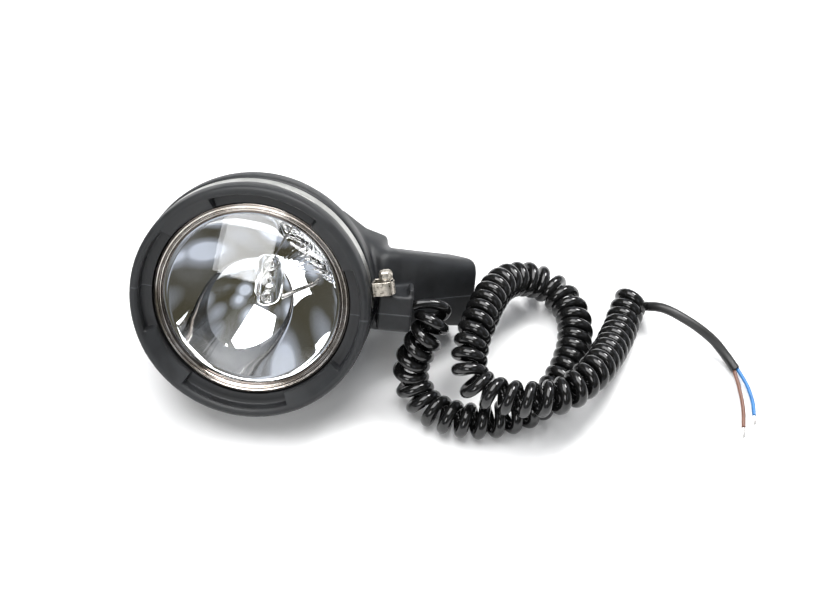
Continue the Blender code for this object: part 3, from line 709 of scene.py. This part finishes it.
def skin(field, low, high, step):
    """Quads on the zero level of a field, one point in each crossed cell, drawn onto the level."""
    axes = [np.arange(a, b + step, step) for a, b in zip(low, high)]
    grid = np.meshgrid(*axes, indexing="ij")
    values = field(*grid)
    del grid
    shape = tuple(n - 1 for n in values.shape)
    total = np.zeros(shape + (3,), np.float32)
    count = np.zeros(shape, np.float32)
    inside = values < 0
    faces = []
    for axis in range(3):
        others = [a for a in range(3) if a != axis]
        near = [slice(None)] * 3
        far = [slice(None)] * 3
        near[axis] = slice(None, -1)
        far[axis] = slice(1, None)
        a, b = values[tuple(near)], values[tuple(far)]
        crosses = inside[tuple(near)] != inside[tuple(far)]
        share = np.where(crosses, a / np.where(crosses, a - b, 1.0), 0.0)
        for first in (0, 1):
            for second in (0, 1):
                pick = [slice(None)] * 3
                pick[others[0]] = slice(first, shape[others[0]] + first)
                pick[others[1]] = slice(second, shape[others[1]] + second)
                hit = crosses[tuple(pick)]
                count += hit
                total[..., axis] += np.where(hit, share[tuple(pick)], 0.0)
                total[..., others[0]] += hit * first
                total[..., others[1]] += hit * second
    used = count > 0
    number = np.full(shape, -1)
    number[used] = np.arange(used.sum())
    cells = np.argwhere(used)
    points = (cells + total[used] / count[used][:, None]) * step + np.array([a[0] for a in axes])
    for axis in range(3):
        others = [(axis + 1) % 3, (axis + 2) % 3]
        near = [slice(None)] * 3
        far = [slice(None)] * 3
        near[axis] = slice(None, -1)
        far[axis] = slice(1, None)
        crosses = inside[tuple(near)] != inside[tuple(far)]
        edges = np.argwhere(crosses)
        ok = np.all(edges[:, others] > 0, axis=1)
        ok &= (edges[:, others[0]] < shape[others[0]]) & (edges[:, others[1]] < shape[others[1]])
        edges = edges[ok]
        corners = []
        for du, dv in ((-1, -1), (0, -1), (0, 0), (-1, 0)):
            cell = edges.copy()
            cell[:, others[0]] += du
            cell[:, others[1]] += dv
            corners.append(number[cell[:, 0], cell[:, 1], cell[:, 2]])
        quad = np.stack(corners, axis=1)
        leaves = inside[edges[:, 0], edges[:, 1], edges[:, 2]]
        quad[~leaves] = quad[~leaves][:, ::-1]
        faces.append(quad)
    faces = np.vstack(faces)
    for _ in range(2):
        here = field(*points.T)
        slope = np.stack([(field(*(points + e).T) - here) / 0.05 for e in 0.05 * np.eye(3)], axis=1)
        size = np.maximum((slope ** 2).sum(axis=1), 0.25)
        move = -(here / size)[:, None] * slope
        reach = np.linalg.norm(move, axis=1)[:, None]
        points = points + move * np.minimum(1.0, 0.4 * step / np.maximum(reach, 1e-6))
    return points, faces


def make_housing():
    step = 1.2
    points, faces = skin(housing_field(), (-78.0, -78.0, -120.0), (144.0, 78.0, -9.0), step)
    mesh = bpy.data.meshes.new("rubber_moulding")
    mesh.from_pydata((points * MM).tolist(), [], faces.tolist())
    piece("rubber_moulding", mesh, RUBBER, replaces=("rubber_housing",), sharp=50.0)


def make_bumper():
    """The soft front ring: four pockets with sloping bridges between them, and the sleeve."""
    bridge = [(72.7, -11.5), (73.9, -11.1), (74.3, -10.2), (74.2, -6.4), (74.0, -2.7), (73.7, -1.5),
              (73.1, -0.7), (72.3, -0.2), (71.5, 0.0), (70.6, 0.0), (69.8, -0.2), (69.1, -0.7),
              (68.5, -1.1), (67.9, -1.5), (66.9, -2.1), (65.4, -3.0), (63.8, -4.0), (62.4, -4.9),
              (61.9, -5.3), (BORE_R, -5.8), (BORE_R, -8.4), (BORE_R, -11.0), (66.0, -11.2), (70.4, -11.2),
              (70.6, -12.0), (70.6, -21.5), (71.6, -21.7), (SLEEVE_R, -21.4), (SLEEVE_R, -16.0)]
    pocket = list(bridge)
    pocket[11:21] = [(69.0, -0.9), (68.6, -1.5), (68.4, -2.4), (68.3, -5.0), (68.2, -7.8), (67.9, -8.7),
                     (67.2, -9.0), (65.2, -9.0), (63.2, -9.0), (BORE_R, -9.2)]
    bridge = np.array(bridge)
    pocket = np.array(pocket)
    half = math.radians(POCKET_SPAN / 2)
    soft = math.radians(1.1)

    def profile(angle):
        open_share = 0.0
        for degrees in POCKET_ANGLES:
            away = abs((angle - math.radians(degrees) + math.pi) % (2 * math.pi) - math.pi)
            t = min(max((half + soft / 2 - away) / soft, 0.0), 1.0)
            open_share = max(open_share, t * t * (3 - 2 * t))
        return bridge * (1 - open_share) + pocket * open_share

    piece("bumper_ring", turned("bumper_ring", profile, 720), RUBBER,
          replaces=("front_bumper",), sharp=50.0)


# ---------------------------------------------------------------- sealed beam
def make_lens():
    bulge = 6.2
    curve_r = (LENS_R ** 2 + bulge ** 2) / (2 * bulge)
    front = []
    back = []
    for k in range(25):
        r = LENS_R * k / 24
        drop = curve_r - math.sqrt(curve_r ** 2 - r ** 2)
        front.append((r, -5.6 - drop))
        back.append((r * 0.95, -8.6 - drop))
    rim = [(LENS_R + 0.7, -12.1), (BEAM_R - 0.2, -12.8), (BEAM_R - 0.2, -14.3), (56.0, -14.8), (54.0, -14.9)]
    piece("lens", turned("lens", front + rim + list(reversed(back)), 128, closed=False), GLASS,
          replaces=("front_lens",))


def make_bezel():
    """Rolled chrome ring: a thin inner lip, two fine beads and the main roll, all slightly rippled."""
    top = []
    for k in range(41):
        t = k / 40
        r = 54.7 + (60.3 - 54.7) * t
        z = -10.9 + 0.9 * math.sin(min(t * 1.25, 1.0) * math.pi / 2) ** 0.8
        z += 0.28 * math.cos((r - 55.4) * 2 * math.pi / 1.35) * (1 - t * 0.35)
        top.append((r, z))
    roll = []
    for k in range(9):
        angle = math.radians(80 - 85 * k / 8)
        roll.append((59.9 + 1.3 * math.cos(angle), -11.4 + 1.3 * math.sin(angle)))
    under = [(BEZEL_R, -14.0), (BEZEL_R, -16.8), (60.4, -16.8), (60.4, -12.4), (58.8, -11.4), (56.8, -11.5),
             (54.7, -11.4)]
    piece("bezel", turned("bezel", top + roll + under, 256), CHROME, replaces=("bezel_ring",))


def make_bowl():
    """The mirrored bowl: a paraboloid with a raised oval pad that the ferrules stand on."""
    rings = 110
    sectors = 256
    rows = []
    for j in range(rings + 1):
        r = 52.4 * (j / rings) ** 0.85
        row = []
        for k in range(sectors):
            angle = 2 * math.pi * k / sectors
            x = r * math.cos(angle)
            y = r * math.sin(angle)
            z = -BOWL_BACK + r * r / (4 * FOCUS)
            off = math.hypot(x - FERRULE_X, max(abs(y) - 11.0, 0.0))
            raised = 1.0 / (1.0 + math.exp((off - 6.6) / 0.55))
            z = max(z, z + (BOWL_FLOOR - z) * raised)
            # Pressed flutes fan out from the ferrules to the rim, on the side next to the grip.
            turn = math.degrees(math.atan2(y, x))
            fan = max(0.0, 1.0 - ((turn - 41.0) / 21.0) ** 4) * min(max((r - 12.0) / 10.0, 0.0), 1.0)
            flute = (math.sin(turn * 1.9) + 0.6 * math.sin(turn * 3.3 + 0.09 * r)
                     + 0.4 * math.sin(turn * 5.9 - 0.3 * r))
            z += 0.16 * fan * flute
            row.append((x, y, z))
        rows.append(row)
    edge = [(53.0, -15.2), (BEAM_R, -15.1), (BEAM_R, -17.0), (55.0, -17.2)]
    back = [(r + 1.9, -BOWL_BACK + r * r / (4 * FOCUS) - 1.6) for r in np.linspace(52.0, 19.0, 14)]
    back += [(18.0, BOWL_FLOOR - 4.5), (9.0, BOWL_FLOOR - 4.5), (0.001, BOWL_FLOOR - 4.5)]
    rows += [circle(r, z, sectors) for r, z in edge + back]
    points = np.array(rows).reshape(-1, 3) * MM
    mesh = welded("mirror_bowl", points, quads(len(rows), sectors))
    piece("mirror_bowl", mesh, MIRROR, replaces=("reflector",), sharp=60.0)


def placed(x, y, z):
    """The lamp's frame, moved to a point in millimetres."""
    return LAMP @ Matrix.Translation(Vector((x, y, z)) * MM)


def make_ferrules():
    flange = rounded([(1.5, 1.2), (4.3, 1.7), (4.3, 0.3), (3.2, 0.3), (3.2, -6.2), (1.5, -6.2)], 0.5)
    cone = [(1.6, 1.35), (2.3, 1.75), (3.2, 1.95), (4.0, 1.7), (4.3, 1.1), (4.3, 0.3), (3.2, 0.2),
            (3.2, -6.2), (1.5, -6.2), (1.5, 0.4)]
    for number, y in enumerate(FERRULE_Y):
        profile = rounded(cone if number != 1 else flange, 0.4)
        piece(f"ferrule_cup_{number + 1}", turned(f"ferrule_cup_{number + 1}", profile, 48), FERRULE_CHROME,
              replaces=(f"ferrule_{number + 1}",), place=placed(FERRULE_X, y, BOWL_FLOOR))


def make_filament():
    focus_z = -BOWL_BACK + FOCUS
    for number, y in enumerate((FERRULE_Y[0], FERRULE_Y[2])):
        side = math.copysign(1.0, y)
        route = [(FERRULE_X, y, BOWL_FLOOR - 6.0), (FERRULE_X, y, BOWL_FLOOR + 3.5),
                 (FERRULE_X * 0.8, y * 0.9, BOWL_FLOOR + 7.5), (FERRULE_X * 0.3, y * 0.55, focus_z - 1.5),
                 (0.0, side * 3.9, focus_z)]
        line = smooth_route(route, 0.5)
        piece(f"post_{number + 1}", tube(f"post_{number + 1}", line, 0.9, 4), TUNGSTEN,
              replaces=(f"filament_post_{number + 1}",))
    turns = 11
    line = []
    for k in range(turns * 12 + 1):
        share = k / (turns * 12)
        angle = 2 * math.pi * turns * share
        line.append((0.55 * math.cos(angle), -3.4 + 6.8 * share,
                     focus_z + 0.55 * math.sin(angle) + 0.9 * math.sin(math.pi * share)))
    piece("filament_coil", tube("filament_coil", line, 0.32, 2), TUNGSTEN,
          replaces=("filament",))


# ---------------------------------------------------------------- worm-drive clamp
CLAMP_PLACE = (LAMP @ Matrix.Rotation(CLAMP_ANGLE, 4, "Z")
               @ Matrix.Translation(Vector((0.0, 0.0, -BAND_FRONT - BAND_WIDTH / 2)) * MM))


def make_band():
    """Stainless strip with rolled edges, and pressed slots on the stretch that the worm pulls."""
    across = [-4.5, -4.35, -4.1, -3.7, -3.2, -2.7, -2.2, -1.7, -1.2, -0.7, -0.2, 0.3, 0.8, 1.3, 1.8, 2.3,
              2.8, 3.3, 3.7, 4.1, 4.35, 4.5]
    slot_from = CLAMP_ANGLE - math.radians(78)
    slot_to = CLAMP_ANGLE - math.radians(6)
    pitch = math.radians(1.75)
    angles = list(np.arange(slot_from, slot_to, math.radians(0.25)))
    angles += list(np.arange(slot_to, slot_from + 2 * math.pi, math.radians(1.5)))
    rows = []
    for angle in angles:
        row = []
        for w in across:
            edge = max(0.0, (abs(w) - 4.1) / 0.4)
            r = BAND_R + 0.7 - 0.3 * edge * edge
            if slot_from <= angle < slot_to and abs(w) < 3.3:
                phase = ((angle - slot_from) / pitch - 0.22 * w / 3.0) % 1.0
                r -= 0.34 if 0.28 < phase < 0.72 else 0.0
            row.append((r * math.cos(angle), r * math.sin(angle), w - BAND_FRONT - BAND_WIDTH / 2))
        for w in (4.4, -4.4):
            row.append((BAND_R * math.cos(angle), BAND_R * math.sin(angle), w - BAND_FRONT - BAND_WIDTH / 2))
        rows.append(row)
    mesh = mesh_from("band", np.array(rows).reshape(-1, 3) * MM, quads(len(rows), len(rows[0]), loop=True))
    piece("band", mesh, STRIP, replaces=("clamp_band",), sharp=30.0)

    tail = []
    for k in range(25):
        share = k / 24
        angle = math.radians(1.6) - share * math.radians(11.5)
        rise = 0.75 + 1.2 * max(0.0, share - 0.55)
        tail.append((BAND_R + rise, angle))
    rows = []
    for k, (r, angle) in enumerate(tail):
        half = 4.2 if k < 22 else 4.2 - 1.4 * (k - 21)
        for radius, w in ((r, -half), (r + 0.6, -half), (r + 0.6, half), (r, half)):
            rows.append((radius * math.cos(angle), radius * math.sin(angle), w))
    last = len(rows) - 4
    faces = [(0, 1, 2, 3), (last + 3, last + 2, last + 1, last)] + quads(len(tail), 4)
    piece("band_end", mesh_from("band_end", np.array(rows) * MM, faces), STRIP,
          place=CLAMP_PLACE, sharp=30.0)


def make_worm_housing():
    """Sheet folded over the worm: an arch with two feet, a saddle under it and pressed ears."""
    def arch(radius):
        turns = [math.pi * k / 16 for k in range(1, 16)]
        return [(radius * math.cos(turn), SCREW_AT_R + radius * math.sin(turn)) for turn in turns]

    outer = [(-5.4, 75.2), (-5.4, 76.3), (-4.9, 77.0), (-4.9, SCREW_AT_R)] + arch(4.9)[::-1]
    outer += [(4.9, SCREW_AT_R), (4.9, 77.0), (5.4, 76.3), (5.4, 75.2)]
    saddle = [(-4.1, SCREW_AT_R), (-4.1, 77.2), (-3.7, 76.1), (3.7, 76.1), (4.1, 77.2)]
    inside = [(4.1, SCREW_AT_R)] + arch(4.1) + saddle
    bm = bmesh.new()
    rings = []
    for outline in (outer, inside):
        pair = []
        for t in (-4.2, 4.2):
            pair.append([bm.verts.new(Vector((u, t, w)) * MM) for w, u in outline])
        rings.append(pair)
    for pair in rings:
        size = len(pair[0])
        for k in range(size):
            n = (k + 1) % size
            bm.faces.new((pair[0][k], pair[0][n], pair[1][n], pair[1][k]))
    for side in (0, 1):
        loops = [rings[0][side], rings[1][side]]
        edges = []
        for loop in loops:
            for k in range(len(loop)):
                edges.append(bm.edges.get((loop[k], loop[(k + 1) % len(loop)])))
        bmesh.ops.triangle_fill(bm, use_beauty=True, use_dissolve=False, edges=edges)
    bmesh.ops.recalc_face_normals(bm, faces=bm.faces)
    mesh = bpy.data.meshes.new("worm_housing")
    bm.to_mesh(mesh)
    bm.free()
    made = piece("worm_housing", mesh, SCREW_STEEL, replaces=("clamp_housing",),
                 place=CLAMP_PLACE, sharp=30.0)
    soften(made, 0.22, 2)


def soften(made, width, segments):
    edge = made.modifiers.new("soft_edges", "BEVEL")
    edge.width = width * MM
    edge.segments = segments
    edge.limit_method = "ANGLE"
    edge.angle_limit = math.radians(40)


def make_screw():
    """Slotted hex head with a washer face, on a shaft with the worm's thread."""
    levels = [(4.3, 5.9), (4.3, 9.6), (4.3 * 0.86, 10.5)]
    rows = [circle(r, height, 6) for r, height in levels]
    faces = quads(len(rows), 6) + [tuple(range(6)), tuple(range(12, 18))]
    mesh = welded("screw_head", np.array(rows).reshape(-1, 3) * MM, faces)
    to_tangent = Matrix.Rotation(-math.pi / 2, 4, "X")
    place = CLAMP_PLACE @ Matrix.Translation(Vector((SCREW_AT_R, 0.0, 0.0)) * MM) @ to_tangent
    made = piece("screw_head", mesh, SCREW_STEEL, body="screw",
                 replaces=("clamp_screw",), place=place, sharp=25.0)
    cutter_mesh = bpy.data.meshes.new("slot_cutter")
    bm = bmesh.new()
    bmesh.ops.create_cube(bm, size=1.0)
    bmesh.ops.scale(bm, vec=Vector((12.0, 1.1, 3.4)) * MM, verts=bm.verts)
    bmesh.ops.translate(bm, vec=Vector((0.0, 0.0, 10.6)) * MM, verts=bm.verts)
    bm.to_mesh(cutter_mesh)
    bm.free()
    cutter = bpy.data.objects.new("slot_cutter", cutter_mesh)
    bpy.context.scene.collection.objects.link(cutter)
    cutter.matrix_world = place
    cut = made.modifiers.new("slot", "BOOLEAN")
    cut.operation = "DIFFERENCE"
    cut.object = cutter
    cut.solver = "EXACT"
    soften(made, 0.18, 2)
    bake(made)
    bpy.data.objects.remove(cutter, do_unlink=True)

    steps = 32
    rows = []
    for h in np.arange(-4.8, 5.0, 0.2):
        row = []
        for k in range(steps):
            phase = (h / 1.6 - k / steps) % 1.0
            tooth = 1.0 - abs(2 * phase - 1.0)
            r = 2.35 + 0.6 * min(max(1.6 * tooth - 0.3, 0.0), 1.0)
            row.append((r * math.cos(2 * math.pi * k / steps), r * math.sin(2 * math.pi * k / steps), h))
        rows.append(row)
    for r, h in ((2.6, 5.0), (4.25, 5.05), (4.3, 5.3), (4.3, 5.7), (4.2, 5.95)):
        rows.append(circle(r, h, steps))
    points = np.array(rows).reshape(-1, 3) * MM
    faces = [tuple(range(steps)), tuple(reversed(range(len(points) - steps, len(points))))]
    faces += [face[::-1] for face in quads(len(rows), steps)]
    mesh = mesh_from("worm_thread", points, faces)
    piece("worm_thread", mesh, SCREW_STEEL, body="screw", place=place, sharp=40.0)


def bake(made):
    """Applies an object's modifiers."""
    bpy.context.view_layer.update()
    solid = bpy.data.meshes.new_from_object(made.evaluated_get(bpy.context.evaluated_depsgraph_get()))
    made.modifiers.clear()
    made.data = solid
    solid.set_sharp_from_angle(angle=math.radians(30))


# ---------------------------------------------------------------- switch
def make_switch():
    spot = GRIP_START + 16.0 * GRIP_ALONG + 21.6 * GRIP_BACK
    turn = Vector(GRIP_BACK).to_track_quat("Z", "Y").to_matrix().to_4x4()
    place = placed(*spot) @ turn
    body = [(0.0, -6.0), (4.3, -6.0), (4.3, 5.2), (8.0, 5.2), (8.0, -9.0), (7.0, -9.6), (7.0, -14.0),
            (0.0, -14.0)]
    piece("switch_case", turned("switch_case", rounded(body, 0.5, closed=False), 64, closed=False), NYLON,
          replaces=("switch_body",), place=place)

    def nut(angle):
        notch = 0.5 * max(0.0, math.cos(12 * angle)) ** 6
        outside = [(10.6 - notch, 4.6), (11.2 - notch, 4.0), (11.2 - notch, 2.2)]
        return rounded([(8.3, 4.6)] + outside + [(8.3, 2.2)], 0.35, 3)

    piece("switch_nut", turned("switch_nut", nut, 192), SCREW_STEEL,
          replaces=("switch_collar",), place=place)
    cap = [(0.0, 9.4), (1.4, 9.3), (2.6, 8.9), (3.5, 8.1), (3.95, 7.0), (4.0, 5.6), (3.8, 5.1), (4.0, 4.6),
           (4.0, -2.4), (0.0, -2.4)]
    piece("switch_cap", turned("switch_cap", rounded(cap, 0.3, 3, closed=False), 56, closed=False), RUBBER,
          body="button", replaces=("switch_button",), place=place)


# ---------------------------------------------------------------- pieces inside, which keep their CAD shape
def paint_inner_pieces():
    paints = {
        "terminal_stud_1": BRASS, "terminal_stud_2": BRASS, "terminal_nut_brown": BRASS,
        "terminal_nut_blue": BRASS, "ring_terminal_brown": TIN, "ring_terminal_blue": TIN,
        "lead_blue": BLUE, "lead_brown": BROWN, "lead_switched": BROWN, "cord_inner": SHEATH,
        "cord_clip": NYLON,
    }
    for name, paint in paints.items():
        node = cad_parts[name]
        node.data.materials.clear()
        node.data.materials.append(paint)


# ---------------------------------------------------------------- stage
def make_stage():
    size = 6.0
    corners = [(-size, -size, 0), (size, -size, 0), (size, size, 0), (-size, size, 0)]
    mesh = mesh_from("floor", corners, [(0, 1, 2, 3)])
    floor = bpy.data.objects.new("floor", mesh)
    bpy.context.scene.collection.objects.link(floor)
    floor.location.z = -0.0002
    paint = Paint("paper", (0.93, 0.93, 0.93), 0.6)
    mesh.materials.append(paint.material)

    world = bpy.data.worlds.new("studio")
    bpy.context.scene.world = world
    world.use_nodes = True
    nodes = world.node_tree.nodes
    links = world.node_tree.links
    # A dim room with pale patches, which the mirrored bowl and the chrome show.
    direction = nodes.new("ShaderNodeTexCoord").outputs["Generated"]
    patches = nodes.new("ShaderNodeTexVoronoi")
    patches.feature = "SMOOTH_F1"
    patches.inputs["Scale"].default_value = 2.1
    patches.inputs["Smoothness"].default_value = 0.12
    links.new(direction, patches.inputs["Vector"])
    ramp = nodes.new("ShaderNodeValToRGB")
    stops = ramp.color_ramp.elements
    stops.new(0.66)
    shades = ((0.34, (0.95, 1.0, 1.12)), (0.43, (0.42, 0.44, 0.48)), (0.66, (0.10, 0.09, 0.06)))
    for stop, (position, shade) in zip(stops, shades):
        stop.position = position
        stop.color = (*shade, 1.0)
    links.new(patches.outputs["Distance"], ramp.inputs["Fac"])
    links.new(ramp.outputs["Color"], nodes["Background"].inputs["Color"])
    nodes["Background"].inputs["Strength"].default_value = 0.9

    def softbox(name, at, aim, size, power, colour=(1.0, 1.0, 1.0)):
        light = bpy.data.lights.new(name, "AREA")
        light.shape = "RECTANGLE"
        light.size, light.size_y = size
        light.energy = power
        light.color = colour
        made = bpy.data.objects.new(name, light)
        bpy.context.scene.collection.objects.link(made)
        made.location = at
        made.rotation_euler = (Vector(aim) - Vector(at)).to_track_quat("-Z", "Y").to_euler()
        return made

    softbox("key", (0.9, 1.0, 1.9), (0.05, 0.0, 0.0), (0.7, 0.7), 44.0)
    softbox("overhead", (-0.3, 0.2, 2.2), (0.05, 0.0, 0.0), (1.8, 1.8), 62.0)
    softbox("front", (-0.7, -1.7, 1.3), (0.0, 0.0, 0.05), (0.7, 0.9), 14.0)


bpy.context.scene.view_settings.view_transform = "Standard"

make_cord()
make_housing()
make_bumper()
make_lens()
make_bezel()
make_bowl()
make_ferrules()
make_filament()
make_band()
make_worm_housing()
make_screw()
make_switch()
paint_inner_pieces()
make_stage()
